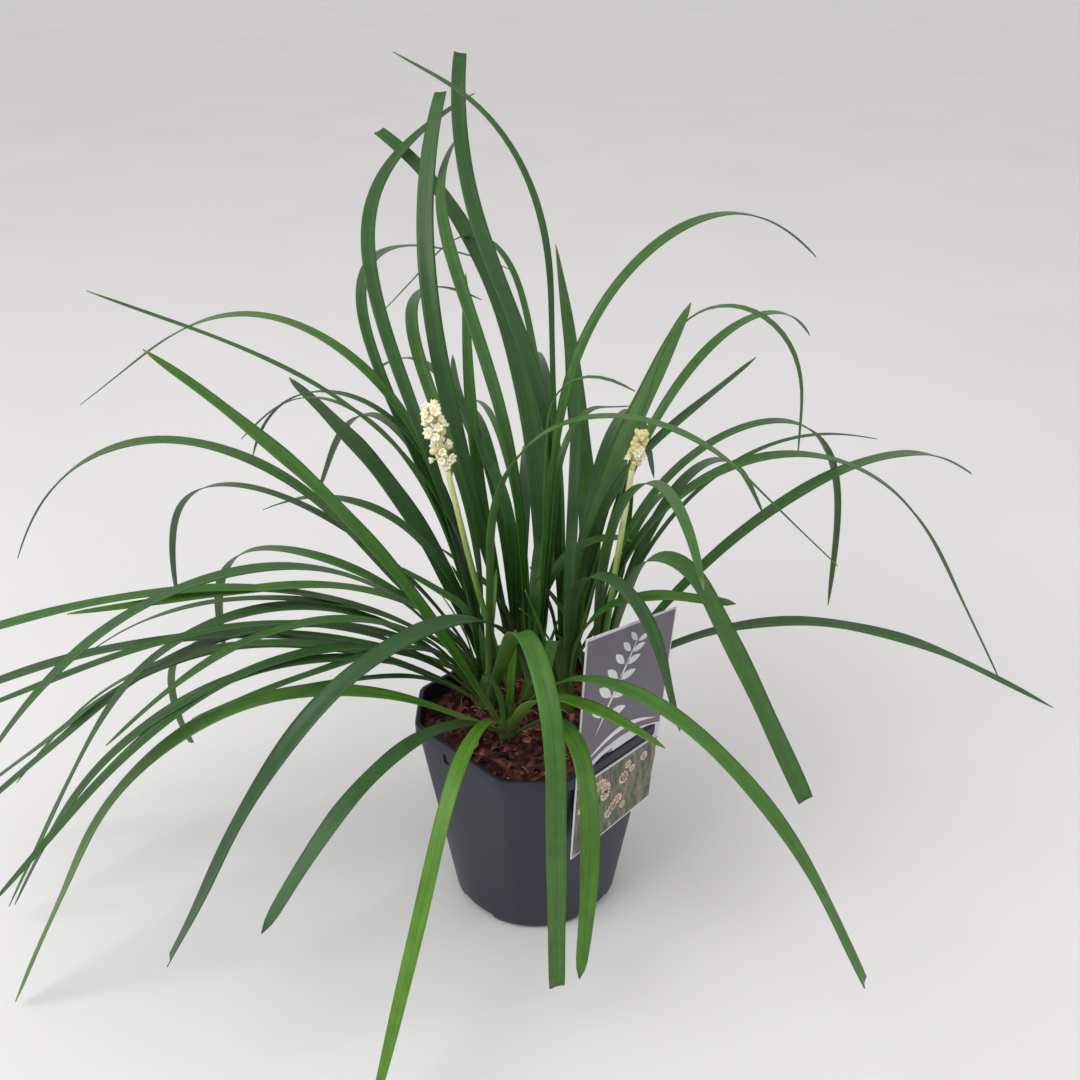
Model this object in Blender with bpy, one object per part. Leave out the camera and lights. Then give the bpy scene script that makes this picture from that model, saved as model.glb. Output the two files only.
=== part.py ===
"""Potted lilyturf: a chamfered square nursery pot, bark soil, eight leafy shoots,
two flower stalks with their heads, and a card label hooked over the rim.
Metres, +Z up. The origin is the middle of the pot's underside."""

import math
from collections import namedtuple

import bmesh
import bpy
import numpy as np
from mathutils import Matrix, Vector

# Clearance between neighbouring pieces
GAP = 0.0003

# Pot: a square with chamfered corners at the rim, round at the base
POT_HEIGHT = 0.158
RIM_TO_FLAT = 0.0757
RIM_TO_CHAMFER = 0.085
CORNER_SHARPNESS = 70
LIP_HEIGHT = 0.0085
LIP_STEP = 0.0022
WALL = 0.0014
BASE_RADIUS = 0.061
FLOOR_UNDERSIDE = 0.0063
FLOOR_TOP = 0.0083
PAD_RADIUS = 0.015
FOOT_INNER = 0.050
FOOT_OUTER = 0.057
ARCH_HEIGHT = 0.006
ARCH_WIDTH = 0.032
DRAIN_HOLES = 8
DRAIN_RADIUS = 0.004
DRAIN_CIRCLE = 0.034
SLOT_WIDTH = 0.006
SLOT_Z = (0.138, 0.1465)
SLOT_ALONG = -0.0155
# Directions of one quarter's outline points, measured from its chamfer
QUARTER = (-31, -20, -14.5, -9, 0, 9, 14.5, 20, 31, 45)

# Soil
SOIL_TOP = 0.145
SOIL_BUMP = 0.0022
HOLE_FLOOR = 0.124

# Shoots
SHEATH_RADIUS = 0.008
SHEATH_SIDES = 12
SHEATH_PROFILE = ((SHEATH_RADIUS, HOLE_FLOOR), (SHEATH_RADIUS, 0.149), (0.0062, 0.162), (0.003, 0.172))
BLADE_START = 0.147
BLADE_THICKNESS = 0.0009
LONG_BLADE = 0.345
TIP_WIDTH = {"point": 0.14, "round": 0.4, "cut": 0.8}

# Flower stalks and heads
STALK_RADIUS = 0.0022
STALK_TAPER = 0.36
SOCKET_DEPTH = 0.005
CORE_RADII = (0.003, 0.0042, 0.0034, 0.0015)

# Label card, in the plane of the pot's front right flat
CARD_INNER = RIM_TO_FLAT + GAP
CARD_THICKNESS = 0.0008
CARD_CORNERS = ((-0.042, 0.090), (0.040, 0.097), (0.058, 0.250), (-0.031, 0.265))
SLIT_HALF = 0.034
SLIT_CENTRE = 0.010
SLIT_BOTTOM = 0.150
SLIT_TOP = 0.166
FOLD = 0.162
TONGUE_BOTTOM = 0.1485
TONGUE_SET_IN = 0.0053

Blade = namedtuple("Blade", "heading swing rise fall bend spread length width tip")

# Each blade leaves its shoot toward heading, which turns by swing on the way to
# the tip. It climbs at rise and ends at fall, turning over around bend, within
# spread on either side, as shares of its length. Angles in degrees, heading 0
# toward +X, and length and width in millimetres. The tip is pointed, round or cut.
SHOOTS = {
    "shoot_front": ((-19, -17), (
        (170, 0, 62, 35, .55, .50, 360, 15, "point"),
        (201, -5, 36, -62, .42, .36, 480, 14, "point"),
        (236, -5, 47, -38, .45, .50, 262, 11, "round"),
        (253, -5, 56, -50, .25, .25, 330, 10, "point"),
        (-80, 42, 52, -12, .66, .45, 214, 13, "point"),
        (-66, 36, 56, -60, .52, .45, 405, 12, "cut"),
        (-43, -75, 44, -75, .40, .30, 262, 12, "round"),
    )),
    "shoot_left": ((-36, 18), (
        (212, 0, 68, -55, .50, .50, 490, 11, "point"),
        (203, 0, 62, -12, .35, .50, 390, 7, "point"),
        (203, -45, 50, -50, .40, .50, 440, 8, "point"),
        (190, 5, 62, -60, .35, .40, 510, 11, "point"),
        (218, -30, 51, -60, .45, .50, 435, 9, "point"),
        (195, 10, 50, 5, .25, .35, 180, 5, "point"),
        (213, -20, 69, -40, .45, .50, 330, 9, "point"),
        (211, 15, 66, 5, .30, .25, 255, 7, "point"),
        (189, -20, 40, -40, .35, .40, 460, 9, "point"),
        (212, -5, 66, -42, .35, .50, 420, 9, "point"),
        (-74, 0, 55, -88, .45, .20, 440, 13, "cut"),
        (160, -5, 86, 20, .55, .15, 140, 7, "point"),
        (-43, 50, 88, -45, .55, .30, 470, 11, "point"),
    )),
    "shoot_left_back": ((-34, 46), (
        (186, -10, 88, 20, .45, .45, 430, 5, "point"),
        (145, -15, 70, 15, .45, .50, 305, 16, "point"),
        (153, 0, 79, -35, .50, .35, 580, 9, "point"),
        (177, -5, 53, -65, .65, .40, 480, 11, "point"),
        (187, -80, 68, -65, .45, .50, 510, 7, "point"),
        (194, -95, 69, -65, .40, .50, 430, 9, "point"),
        (220, -135, 48, -65, .40, .50, 455, 6, "cut"),
        (204, -10, 63, -10, .30, .50, 500, 9, "point"),
        (198, -20, 39, -25, .35, .50, 530, 10, "point"),
        (220, -75, 58, -38, .45, .50, 380, 6, "point"),
        (200, 5, 72, 5, .30, .40, 330, 9, "point"),
        (199, -161, 81, 20, .49, .36, 550, 10, "point"),
        (196, -10, 46, -40, .35, .40, 460, 10, "point"),
        (190, -165, 83, -25, .50, .50, 580, 8, "point"),
        (196, -150, 88, -30, .60, .45, 450, 9, "point"),
        (158, -5, 81, -82, .70, .45, 380, 6, "point"),
        (143, -5, 74, -40, .55, .40, 410, 4, "point"),
        (157, 0, 78, -30, .55, .50, 270, 9, "point"),
        (125, 0, 72, -55, .50, .40, 430, 9, "point"),
    )),
    "shoot_back_left": ((-12, 60), (
        (155, -5, 84, 25, .50, .30, 120, 6, "point"),
        (132, -38, 88, 10, .42, .15, 335, 9, "point"),
        (161, -90, 78, 50, .45, .50, 450, 13, "cut"),
        (137, -50, 71, 70, .50, .40, 300, 9, "point"),
        (105, 0, 70, -60, .50, .40, 420, 9, "point"),
        (88, 0, 62, -55, .45, .40, 400, 10, "point"),
        (118, 5, 80, -30, .55, .40, 400, 8, "point"),
    )),
    "shoot_centre": ((-2, 30), (
        (244, -45, 88, -60, .35, .50, 450, 16, "cut"),
        (74, 80, 59, 15, .90, .46, 462, 15, "cut"),
        (172, -95, 88, 15, .55, .35, 495, 9, "point"),
        (66, 95, 64, -45, .70, .15, 500, 5, "point"),
        (115, -15, 85, -20, .55, .35, 335, 5, "point"),
        (82, 5, 88, 0, .40, .25, 220, 9, "point"),
        (73, 10, 88, -10, .45, .40, 170, 9, "point"),
        (20, 25, 86, -35, .65, .35, 540, 9, "point"),
        (0, -25, 88, -20, .85, .15, 300, 6, "point"),
        (35, 35, 83, -20, .65, .15, 320, 5, "point"),
        (53, -33, 88, -55, .72, .50, 178, 9, "point"),
    )),
    "shoot_back": ((22, 60), (
        (166, -80, 88, 40, .45, .20, 510, 12, "cut"),
        (57, 105, 50, 80, .50, .15, 335, 17, "point"),
        (47, 5, 84, 45, .40, .50, 300, 18, "point"),
        (-12, -20, 77, -88, .75, .20, 450, 6, "point"),
        (29, 25, 72, -55, .70, .50, 440, 8, "point"),
        (156, -20, 88, 15, .75, .20, 510, 6, "point"),
        (25, 10, 82, 25, .50, .30, 300, 10, "point"),
        (26, 40, 50, 80, .50, .15, 155, 5, "point"),
        (72, 0, 66, -55, .50, .40, 420, 9, "point"),
        (95, 5, 74, -50, .55, .40, 440, 8, "point"),
    )),
    "shoot_right": ((42, 34), (
        (-37, -15, 75, -50, .45, .15, 340, 15, "cut"),
        (-17, 5, 48, -25, .45, .50, 350, 12, "point"),
        (14, -10, 88, -60, .40, .40, 555, 11, "point"),
        (15, 38, 55, -30, .45, .50, 500, 11, "point"),
        (26, 8, 78, -20, .50, .50, 360, 4, "point"),
        (2, 58, 88, -88, .50, .45, 515, 8, "point"),
        (56, 10, 75, -20, .50, .40, 250, 5, "point"),
        (-58, -31, 88, -9, .55, .44, 385, 8, "point"),
        (52, 5, 62, -50, .50, .40, 380, 9, "point"),
    )),
    "shoot_right_front": ((22, 14), (
        (-65, 25, 88, -70, .55, .30, 270, 12, "point"),
        (-24, 10, 88, 0, .50, .40, 190, 11, "round"),
        (80, 10, 84, 30, .50, .35, 280, 8, "point"),
        (-110, 20, 80, 10, .50, .35, 160, 8, "point"),
    )),
}

# Flower stalks in millimetres: foot on the soil, waist, head's foot, head's top,
# how far the buds reach out from the stalk, and the number of bud whorls
STALKS = {
    "left": ((-20, 32, 149), (-42, 25, 248), (-58, 21, 335), (-69, 23, 385), 9.2, 8),
    "right": ((44, 14, 149), (54, 13, 252), (64, 16, 338), (70, 18, 366), 7.0, 6),
}
BUDS_PER_WHORL = 5
BUD_AT_FOOT = 0.0035
BUD_AT_TOP = 0.0021
BUD_STRETCH = 1.25
BUD_LEAN = 50
HEAD_TAPER = 0.55

COLOURS = {
    "pot": ("#35353d", 0.45),
    "soil": ("#5a2a1e", 0.95),
    "leaf": ("#3f7a2c", 0.45),
    "stalk": ("#7d9a52", 0.5),
    "buds": ("#ece2bf", 0.6),
    "card": ("#5a565e", 0.4),
}


def clear_scene():
    """Remove every object that the file starts with."""
    for item in list(bpy.data.objects):
        bpy.data.objects.remove(item)


def material(name):
    """A plain Principled material of the part's colour."""
    code, roughness = COLOURS[name]
    channels = [int(code[i:i + 2], 16) / 255 for i in (1, 3, 5)]
    linear = [c / 12.92 if c < 0.04045 else ((c + 0.055) / 1.055) ** 2.4 for c in channels]
    mat = bpy.data.materials.new(name)
    mat.use_nodes = True
    shader = mat.node_tree.nodes["Principled BSDF"]
    shader.inputs["Base Color"].default_value = (*linear, 1)
    shader.inputs["Roughness"].default_value = roughness
    shader.inputs["Metallic"].default_value = 0
    return mat


def add_object(name, bm, colour=None):
    """Turn a bmesh into a linked object, its faces pointing out."""
    bmesh.ops.recalc_face_normals(bm, faces=bm.faces)
    mesh = bpy.data.meshes.new(name)
    bm.to_mesh(mesh)
    bm.free()
    obj = bpy.data.objects.new(name, mesh)
    bpy.context.scene.collection.objects.link(obj)
    if colour:
        mesh.materials.append(material(colour))
    return obj


def combine(obj, others, operation):
    """Join or cut obj with the other objects in one applied Boolean."""
    group = bpy.data.collections.new("operands")
    bpy.context.scene.collection.children.link(group)
    for other in others:
        group.objects.link(other)
        bpy.context.scene.collection.objects.unlink(other)
    boolean = obj.modifiers.new("combine", "BOOLEAN")
    boolean.operation = operation
    boolean.solver = "MANIFOLD"
    boolean.operand_type = "COLLECTION"
    boolean.collection = group
    graph = bpy.context.evaluated_depsgraph_get()
    result = bpy.data.meshes.new_from_object(obj.evaluated_get(graph))
    result.name = obj.name
    obj.modifiers.clear()
    obj.data = result
    for other in others:
        bpy.data.objects.remove(other)
    bpy.data.collections.remove(group)


def smooth(obj, degrees=35):
    """Shade round surfaces smooth and keep the edges above the angle sharp."""
    obj.data.shade_smooth()
    obj.data.set_sharp_from_angle(angle=math.radians(degrees))


def loft(rings, split=False):
    """Skin rings of equal length and close both ends. Walls that nest are split
    into triangles along the same diagonal, so that they stay apart."""
    bm = bmesh.new()
    rows = [[bm.verts.new(point) for point in ring] for ring in rings]
    for first, second in zip(rows, rows[1:]):
        for i in range(len(first)):
            j = (i + 1) % len(first)
            a, b, c, d = first[i], first[j], second[j], second[i]
            if not split:
                bm.faces.new((a, b, c, d))
            elif a.co.z <= d.co.z:
                bm.faces.new((a, b, c))
                bm.faces.new((a, c, d))
            else:
                bm.faces.new((a, b, d))
                bm.faces.new((b, c, d))
    bm.faces.new(rows[0])
    bm.faces.new(rows[-1])
    return bm


def outline_angles():
    """Directions of the pot's outline points, all the way round."""
    return [math.radians(90 * quarter + step) for quarter in range(4) for step in QUARTER]


def rim_radius(angle, inset):
    """Distance to the rounded, chamfered square, drawn in by inset."""
    total = 0
    for side in range(8):
        reach = (RIM_TO_FLAT if side % 2 else RIM_TO_CHAMFER) - inset
        facing = math.cos(angle - side * math.pi / 4)
        if facing > 0:
            total += (facing / reach) ** CORNER_SHARPNESS
    return total ** (-1 / CORNER_SHARPNESS)


def pot_ring(z, inset, roundness=0.0, radius=BASE_RADIUS):
    """One level of the pot, between the rim's outline and the base circle."""
    ring = []
    for angle in outline_angles():
        reach = rim_radius(angle, inset) * (1 - roundness) + (radius - inset) * roundness
        ring.append((reach * math.cos(angle), reach * math.sin(angle), z))
    return ring


def wall_ring(z, inset):
    """One level of the tapering wall, its outer face drawn in by inset."""
    top = POT_HEIGHT - LIP_HEIGHT
    return pot_ring(z, inset + LIP_STEP * z / top, roundness=1 - z / top)


def pot_rings():
    """The pot's skin from the middle of the underside to the middle of the floor."""
    def flat_ring(radius, z):
        return pot_ring(z, 0, 1, radius)

    top = POT_HEIGHT - LIP_HEIGHT
    inner = LIP_STEP + WALL
    rings = [
        flat_ring(PAD_RADIUS, 0),
        flat_ring(PAD_RADIUS + 0.0015, FLOOR_UNDERSIDE),
        flat_ring(FOOT_INNER - 0.0015, FLOOR_UNDERSIDE),
        flat_ring(FOOT_INNER, 0),
        flat_ring(FOOT_OUTER, 0),
        flat_ring(BASE_RADIUS - 0.001, 0.0022),
        wall_ring(0.0065, 0),
        wall_ring(0.050, 0),
        wall_ring(0.100, 0),
        wall_ring(top - 0.0005, 0),
        pot_ring(top, 0.0002),
        pot_ring(POT_HEIGHT - 0.0008, 0),
        pot_ring(POT_HEIGHT, 0.0007),
        pot_ring(POT_HEIGHT, inner - 0.0006),
        pot_ring(POT_HEIGHT - 0.0008, inner),
        wall_ring(top - 0.0005, WALL),
        wall_ring(0.100, WALL),
        wall_ring(0.050, WALL),
        wall_ring(FLOOR_TOP + 0.003, WALL),
        flat_ring(BASE_RADIUS - WALL - 0.003, FLOOR_TOP),
        flat_ring(PAD_RADIUS, FLOOR_TOP),
    ]
    return rings


def cylinder(radius, low, high, sides):
    """A closed upright cylinder on the Z axis."""
    bm = bmesh.new()
    bmesh.ops.create_cone(bm, cap_ends=True, segments=sides, radius1=radius,
                          radius2=radius, depth=high - low)
    bmesh.ops.translate(bm, verts=bm.verts, vec=(0, 0, (low + high) / 2))
    return bm


def flat_frame(angle):
    """Turn the frame of a flat, X out of it and Y along it, to its place."""
    return Matrix.Rotation(math.radians(angle), 4, "Z")


def block(size, centre):
    """A closed box."""
    bm = bmesh.new()
    bmesh.ops.create_cube(bm, size=1)
    bmesh.ops.scale(bm, vec=size, verts=bm.verts)
    bmesh.ops.translate(bm, vec=centre, verts=bm.verts)
    return bm


def build_pot():
    """The pot with its drain holes, the arches under its flats and the hanger slots."""
    pot = add_object("pot", loft(pot_rings(), split=True), "pot")
    cutters = []
    for i in range(DRAIN_HOLES):
        angle = 2 * math.pi * (i + 0.5) / DRAIN_HOLES
        bm = cylinder(DRAIN_RADIUS, -0.01, 0.02, sides=12)
        place = (DRAIN_CIRCLE * math.cos(angle), DRAIN_CIRCLE * math.sin(angle), 0)
        bmesh.ops.translate(bm, verts=bm.verts, vec=place)
        cutters.append(add_object("drain", bm))
    for side in range(4):
        low, high = SLOT_Z
        bm = block((0.02, SLOT_WIDTH, high - low), (RIM_TO_FLAT, SLOT_ALONG, (low + high) / 2))
        bmesh.ops.transform(bm, matrix=flat_frame(45 + 90 * side), verts=bm.verts)
        cutters.append(add_object("slot", bm))
        bm = block((0.03, ARCH_WIDTH, 2 * ARCH_HEIGHT), (BASE_RADIUS, 0, 0))
        bmesh.ops.transform(bm, matrix=flat_frame(45 + 90 * side), verts=bm.verts)
        cutters.append(add_object("arch", bm))
    combine(pot, cutters, "DIFFERENCE")
    smooth(pot)
    return pot


def soil_height(x, y):
    """The uneven top of the soil."""
    wave = math.sin(x * 190 + 1.3) * math.cos(y * 160 - 0.4)
    chips = math.sin(x * 420 - y * 370) * math.sin(y * 510 + 0.7)
    return SOIL_TOP + SOIL_BUMP * (0.55 * wave + 0.45 * chips)


def soil_rings():
    """The soil's skin: underside, sides along the wall and uneven top."""
    set_in = WALL + GAP
    rings = [
        pot_ring(FLOOR_TOP + GAP, 0, 1, PAD_RADIUS),
        pot_ring(FLOOR_TOP + GAP, 0, 1, BASE_RADIUS - set_in - 0.0035),
        wall_ring(FLOOR_TOP + 0.0035, set_in),
        wall_ring(0.050, set_in),
        wall_ring(0.100, set_in),
        wall_ring(SOIL_TOP - 0.003, set_in),
    ]
    edge = wall_ring(SOIL_TOP, set_in + 0.0005)
    for share in (1, 0.86, 0.7, 0.54, 0.38, 0.22, 0.08):
        ring = []
        for x, y, _ in edge:
            ring.append((x * share, y * share, soil_height(x * share, y * share)))
        rings.append(ring)
    return rings


def build_soil():
    """The soil with a plain hole for each shoot and stalk."""
    soil = add_object("soil", loft(soil_rings(), split=True), "soil")
    holes = [(root, SHEATH_RADIUS) for root, _ in SHOOTS.values()]
    holes += [(stalk[0][:2], STALK_RADIUS) for stalk in STALKS.values()]
    cutters = []
    for (x, y), radius in holes:
        bm = cylinder(radius + GAP, HOLE_FLOOR - GAP, SOIL_TOP + 0.02, SHEATH_SIDES)
        bmesh.ops.translate(bm, verts=bm.verts, vec=(x / 1000, y / 1000, 0))
        cutters.append(add_object("hole", bm))
    combine(soil, cutters, "DIFFERENCE")
    smooth(soil)
    return soil


def blade_path(root, blade, steps):
    """Points along a blade, with the level direction across it at each point."""
    share = (np.arange(steps) + 0.5) / steps
    turn = np.clip((share - blade.bend + blade.spread) / (2 * blade.spread), 0, 1)
    turn = turn * turn * (3 - 2 * turn)
    climb = np.radians(blade.rise + (blade.fall - blade.rise) * turn)
    heading = np.radians(blade.heading + blade.swing * share)
    run = np.stack([np.cos(climb) * np.cos(heading), np.cos(climb) * np.sin(heading), np.sin(climb)], 1)
    start = Vector((root[0] / 1000, root[1] / 1000, BLADE_START))
    first = math.radians(blade.heading)
    start += Vector((math.cos(first), math.sin(first), 0)) * 0.003
    points = np.vstack([np.array(start), np.array(start) + np.cumsum(run, 0) * blade.length / 1000 / steps])
    turns = np.radians(blade.heading + blade.swing * np.arange(steps + 1) / steps)
    across = np.stack([-np.sin(turns), np.cos(turns), 0 * turns], 1)
    return points, across


def blade_width(blade, share):
    """Width along a blade: narrow in the sheath, widest past the middle."""
    full = blade.width / 1000
    grown = 0.55 + 0.45 * min(1, share / 0.4)
    if share > 0.7:
        left = (1 - share) / 0.3
        end = TIP_WIDTH[blade.tip]
        grown *= end + (1 - end) * math.sqrt(left)
    return max(full * grown, 0.0015)


def blade_mesh(root, blade):
    """A flat blade of even thickness that follows its path."""
    steps = 12 if blade.length / 1000 > LONG_BLADE else 8
    points, across = blade_path(root, blade, steps)
    rings = []
    for i, point in enumerate(points):
        along = points[min(i + 1, steps)] - points[max(i - 1, 0)]
        up = np.cross(along / np.linalg.norm(along), across[i])
        side = across[i] * blade_width(blade, i / steps) / 2
        lift = up * BLADE_THICKNESS / 2
        rings.append([point - side - lift, point + side - lift, point + side + lift, point - side + lift])
    return loft(rings)


def build_shoot(name, root, rows):
    """A shoot: its sheath in the soil and all its blades, one body."""
    rings = []
    for radius, z in SHEATH_PROFILE:
        corners = [math.tau * i / SHEATH_SIDES for i in range(SHEATH_SIDES)]
        rings.append([(radius * math.cos(a), radius * math.sin(a), z) for a in corners])
    bm = loft(rings)
    bmesh.ops.translate(bm, verts=bm.verts, vec=(root[0] / 1000, root[1] / 1000, 0))
    shoot = add_object(name, bm, "leaf")
    blades = [add_object("blade", blade_mesh(root, Blade(*row))) for row in rows]
    combine(shoot, blades, "UNION")
    smooth(shoot, 50)
    return shoot


def curve_points(corners, steps):
    """A smooth curve through the corners, the first and last included."""
    pts = [Vector(c) / 1000 for c in corners]
    pts = [2 * pts[0] - pts[1]] + pts + [2 * pts[-1] - pts[-2]]
    line = []
    for a, b, c, d in zip(pts, pts[1:], pts[2:], pts[3:]):
        for k in range(steps):
            t = k / steps
            line.append(0.5 * ((2 * b) + (c - a) * t + (2 * a - 5 * b + 4 * c - d) * t * t
                               + (3 * b - a - 3 * c + d) * t ** 3))
    line.append(pts[-2])
    return line


def tube(line, radii, sides):
    """A closed tube along a line, with a radius at each point."""
    rings = []
    for i, point in enumerate(line):
        along = (line[min(i + 1, len(line) - 1)] - line[max(i - 1, 0)]).normalized()
        across = along.cross(Vector((0, 1, 0))).normalized()
        other = along.cross(across)
        angles = [2 * math.pi * k / sides for k in range(sides)]
        rings.append([point + (across * math.cos(a) + other * math.sin(a)) * radii[i] for a in angles])
    return loft(rings)


def build_stalk(name, foot, waist, head_foot, head_top):
    """A flower stalk from its hole in the soil into the head's socket."""
    axis = (Vector(head_top) - Vector(head_foot)).normalized()
    line = curve_points((foot, waist, head_foot), 5)
    line.insert(0, Vector((line[0].x, line[0].y, HOLE_FLOOR)))
    line.append(line[-1] + axis * (SOCKET_DEPTH - GAP))
    last = len(line) - 1
    radii = [STALK_RADIUS * (1 - STALK_TAPER * i / last) for i in range(last + 1)]
    stalk = add_object("stalk_" + name, tube(line, radii, 8), "stalk")
    smooth(stalk, 60)
    return stalk


def bud_mesh(size, out, around):
    """One plump bud, leaning away from the stalk."""
    bm = bmesh.new()
    bmesh.ops.create_icosphere(bm, subdivisions=1, radius=size)
    bmesh.ops.scale(bm, vec=(1, 1, BUD_STRETCH), verts=bm.verts)
    lean = Matrix.Rotation(math.radians(BUD_LEAN), 3, "Y")
    bmesh.ops.rotate(bm, verts=bm.verts, matrix=lean)
    bmesh.ops.translate(bm, verts=bm.verts, vec=(out, 0, 0))
    bmesh.ops.rotate(bm, verts=bm.verts, matrix=Matrix.Rotation(around, 3, "Z"))
    return bm


def build_head(name, head_foot, head_top, reach, whorls):
    """A flower head: a slim core, its socket, and whorls of plump buds."""
    foot = Vector(head_foot) / 1000
    top = Vector(head_top) / 1000
    axis = (top - foot).normalized()
    turn = axis.to_track_quat("Z", "Y").to_matrix().to_4x4()
    line = [foot.lerp(top, t) for t in (0, 0.3, 0.7, 1)]
    core = add_object("head_" + name, tube(line, CORE_RADII, 10), "buds")
    buds = []
    for whorl in range(whorls):
        share = (whorl + 0.6) / (whorls + 0.2)
        size = BUD_AT_FOOT + (BUD_AT_TOP - BUD_AT_FOOT) * share
        out = (reach / 1000 - size) * (1 - HEAD_TAPER * share ** 2)
        place = Matrix.Translation(foot.lerp(top, share)) @ turn
        for k in range(BUDS_PER_WHORL):
            around = math.tau * (k + 0.5 * (whorl % 2)) / BUDS_PER_WHORL
            bm = bud_mesh(size, out, around + 0.35 * math.sin(whorl * 2.1))
            bmesh.ops.transform(bm, matrix=place, verts=bm.verts)
            buds.append(add_object("bud", bm))
    combine(core, buds, "UNION")
    socket = cylinder(STALK_RADIUS * 0.8 + GAP, -SOCKET_DEPTH, SOCKET_DEPTH, sides=12)
    bmesh.ops.transform(socket, matrix=Matrix.Translation(foot) @ turn, verts=socket.verts)
    combine(core, [add_object("socket", socket)], "DIFFERENCE")
    smooth(core, 60)
    return core


def card_point(out, along, z):
    """A point given by its distance from the pot's axis, place along the flat, and height."""
    angle = math.radians(-45)
    return (out * math.cos(angle) - along * math.sin(angle),
            out * math.sin(angle) + along * math.cos(angle), z)


def window_outline():
    """The card's arched window: a straight foot and a half round top."""
    line = [(SLIT_CENTRE - SLIT_HALF, SLIT_BOTTOM), (SLIT_CENTRE + SLIT_HALF, SLIT_BOTTOM)]
    for k in range(9):
        angle = math.pi * k / 8
        rise = (SLIT_TOP - POT_HEIGHT) * math.sin(angle)
        line.append((SLIT_CENTRE + SLIT_HALF * math.cos(angle), POT_HEIGHT + rise))
    return line


def card_slab():
    """The flat card with its window, its inner face a gap outside the rim."""
    bm = bmesh.new()
    for outline in (CARD_CORNERS, window_outline()):
        verts = [bm.verts.new(card_point(CARD_INNER, along, z)) for along, z in outline]
        for a, b in zip(verts, verts[1:] + verts[:1]):
            bm.edges.new((a, b))
    bmesh.ops.triangle_fill(bm, use_beauty=True, edges=bm.edges)
    grown = bmesh.ops.extrude_face_region(bm, geom=bm.faces[:])["geom"]
    moved = [item for item in grown if isinstance(item, bmesh.types.BMVert)]
    bmesh.ops.translate(bm, verts=moved, vec=card_point(CARD_THICKNESS, 0, 0))
    return bm


def add_tongue(bm):
    """Bend a strip from the window's top inward over the rim and down inside it."""
    def away(vert):
        return (vert.co.x - vert.co.y) * math.sqrt(0.5)

    def along(vert):
        return (vert.co.x + vert.co.y) * math.sqrt(0.5)

    arch = [v for v in bm.verts if abs(v.co.z - SLIT_TOP) < 0.001]
    middle = CARD_INNER + CARD_THICKNESS / 2
    under = sorted((v for v in arch if away(v) < middle), key=along)
    over = sorted((v for v in arch if away(v) > middle), key=along)
    sides = [face for face in bm.faces if all(v in arch for v in face.verts)]
    bmesh.ops.delete(bm, geom=sides, context="FACES")
    inside = CARD_INNER - TONGUE_SET_IN
    over_rim = POT_HEIGHT + GAP
    bends = (
        ((CARD_INNER, FOLD), (CARD_INNER + CARD_THICKNESS, FOLD)),
        ((CARD_INNER - 0.0023, over_rim + 0.0003), (CARD_INNER - 0.0023, over_rim + 0.0013)),
        ((inside + CARD_THICKNESS, over_rim), (inside, over_rim + CARD_THICKNESS)),
        ((inside + CARD_THICKNESS, TONGUE_BOTTOM), (inside, TONGUE_BOTTOM)),
    )
    loop = under + over[::-1]
    for low, high in bends:
        places = [card_point(low[0], along(v), low[1]) for v in under]
        places += [card_point(high[0], along(v), high[1]) for v in over[::-1]]
        fresh = [bm.verts.new(place) for place in places]
        for i in range(len(loop)):
            j = (i + 1) % len(loop)
            bm.faces.new((loop[i], loop[j], fresh[j], fresh[i]))
        loop = fresh
    bm.faces.new(loop)


def build_label():
    """The card outside the rim, hooked over it by its tongue."""
    bm = card_slab()
    add_tongue(bm)
    return add_object("label", bm, "card")


def build_flowers():
    """Both flower stalks with their heads."""
    for name, (foot, waist, head_foot, head_top, reach, whorls) in STALKS.items():
        build_stalk(name, foot, waist, head_foot, head_top)
        build_head(name, head_foot, head_top, reach, whorls)


def main():
    """Build every piece."""
    clear_scene()
    build_pot()
    build_soil()
    for name, (root, rows) in SHOOTS.items():
        build_shoot(name, root, rows)
    build_flowers()
    build_label()


main()
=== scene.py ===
"""Looks for the potted lilyturf: fine leaves, flowers, bark, pot and label."""

import math
import random
from collections import namedtuple

import bmesh
import bpy
from mathutils import Matrix, Vector


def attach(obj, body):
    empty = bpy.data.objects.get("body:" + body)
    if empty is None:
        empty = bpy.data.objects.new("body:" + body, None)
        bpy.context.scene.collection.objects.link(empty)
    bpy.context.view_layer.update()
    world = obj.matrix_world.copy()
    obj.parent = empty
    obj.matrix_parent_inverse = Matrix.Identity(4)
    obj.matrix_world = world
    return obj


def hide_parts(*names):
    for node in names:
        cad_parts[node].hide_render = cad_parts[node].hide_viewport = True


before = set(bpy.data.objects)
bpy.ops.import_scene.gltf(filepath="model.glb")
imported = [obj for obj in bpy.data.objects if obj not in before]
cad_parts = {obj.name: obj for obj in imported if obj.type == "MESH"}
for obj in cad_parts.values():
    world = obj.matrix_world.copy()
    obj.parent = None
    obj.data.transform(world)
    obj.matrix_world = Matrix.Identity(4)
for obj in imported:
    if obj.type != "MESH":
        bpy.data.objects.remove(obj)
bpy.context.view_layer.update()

# Pot and card, in metres, as in the part
POT_HEIGHT = 0.158
RIM_TO_FLAT = 0.0757
RIM_TO_CHAMFER = 0.085
CORNER_SHARPNESS = 70
LIP_HEIGHT = 0.0085
LIP_STEP = 0.0022
WALL = 0.0014
BASE_RADIUS = 0.061
FLOOR_UNDERSIDE = 0.0063
FLOOR_TOP = 0.0083
ARCH_HEIGHT = 0.006
ARCH_WIDTH = 0.032
SLOT_Z = (0.138, 0.1465)
SLOT_ALONG = -0.0155
DRAIN_RADII = (0.030, 0.038)
SOIL_TOP = 0.145
CARD_FACE = 0.0768
CARD_CORNERS = ((-0.042, 0.090), (0.040, 0.097), (0.058, 0.250), (-0.031, 0.265))

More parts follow.
